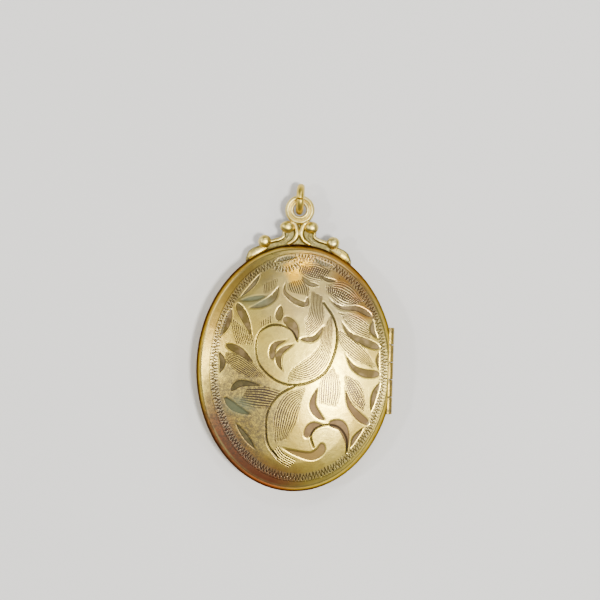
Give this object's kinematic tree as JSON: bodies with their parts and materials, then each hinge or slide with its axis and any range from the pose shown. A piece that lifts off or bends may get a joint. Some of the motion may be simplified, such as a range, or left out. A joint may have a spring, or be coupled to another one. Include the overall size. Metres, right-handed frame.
{
  "type": "locket",
  "caption": "Oval hinged locket with an engraved domed front, scroll crest, split jump ring and framed photo recesses inside.",
  "frame": {"origin": "middle of the flat panel of the back cover, where the locket rests when it lies on its back", "axes": "+Y along the oval towards the crest and jump ring, +Z out of the engraved front cover, +X towards the hinge"},
  "size_m": [0.0255, 0.0399, 0.007],
  "materials": {
    "engraved_gold": "hand-engraved gold-filled sheet, polished flats, matte brown leaf cuts, worn rose at the rim",
    "plain_gold": "polished gold-filled sheet with fine wear scratches and darker tarnish near the seams",
    "inner_gold": "satin gilt rims and photo frames, less worn than the outside",
    "crest_gold": "cast scroll metal, silvery-gold wear on the high spots and greenish grey in the recesses",
    "ring_gold": "drawn wire, polished, slightly tarnished",
    "steel_pin": "plain wire pin",
    "celluloid": "clear sheet, faintly yellowed",
    "photo_card": "blank backing card, slightly foxed"
  },
  "bodies": {
    "back_case": {"back_cover": "plain_gold", "back_inner_rim": "inner_gold", "catch_pip": "inner_gold", "back_photo_frame": "inner_gold", "back_window": "celluloid", "back_photo_card": "photo_card", "back_knuckle_lower": "plain_gold", "back_knuckle_middle": "plain_gold", "back_knuckle_upper": "plain_gold", "hinge_pin": "steel_pin", "crest_plate": "crest_gold", "crest_ball_upper_left": "crest_gold", "crest_ball_upper_right": "crest_gold", "crest_ball_lower_left": "crest_gold", "crest_ball_lower_right": "crest_gold", "bail_eye": "crest_gold"},
    "front_lid": {"front_cover": "engraved_gold", "front_inner_rim": "inner_gold", "front_photo_frame": "inner_gold", "front_window": "celluloid", "front_photo_card": "photo_card", "front_knuckle_lower": "plain_gold", "front_knuckle_upper": "plain_gold"},
    "jump_ring": {"jump_ring": "ring_gold"}
  },
  "joints": [
    {"name": "lid_hinge", "type": "hinge", "parent": "back_case", "child": "front_lid", "pos_m": [0.01212, 0, 0.0035], "axis": [0, 1, 0], "range_deg": [0, 175]},
    {"name": "jump_ring_swing", "type": "hinge", "parent": "back_case", "child": "jump_ring", "pos_m": [0, 0.0219, 0.0029], "axis": [1, 0, 0], "range_deg": [-25, 205]}
  ]
}
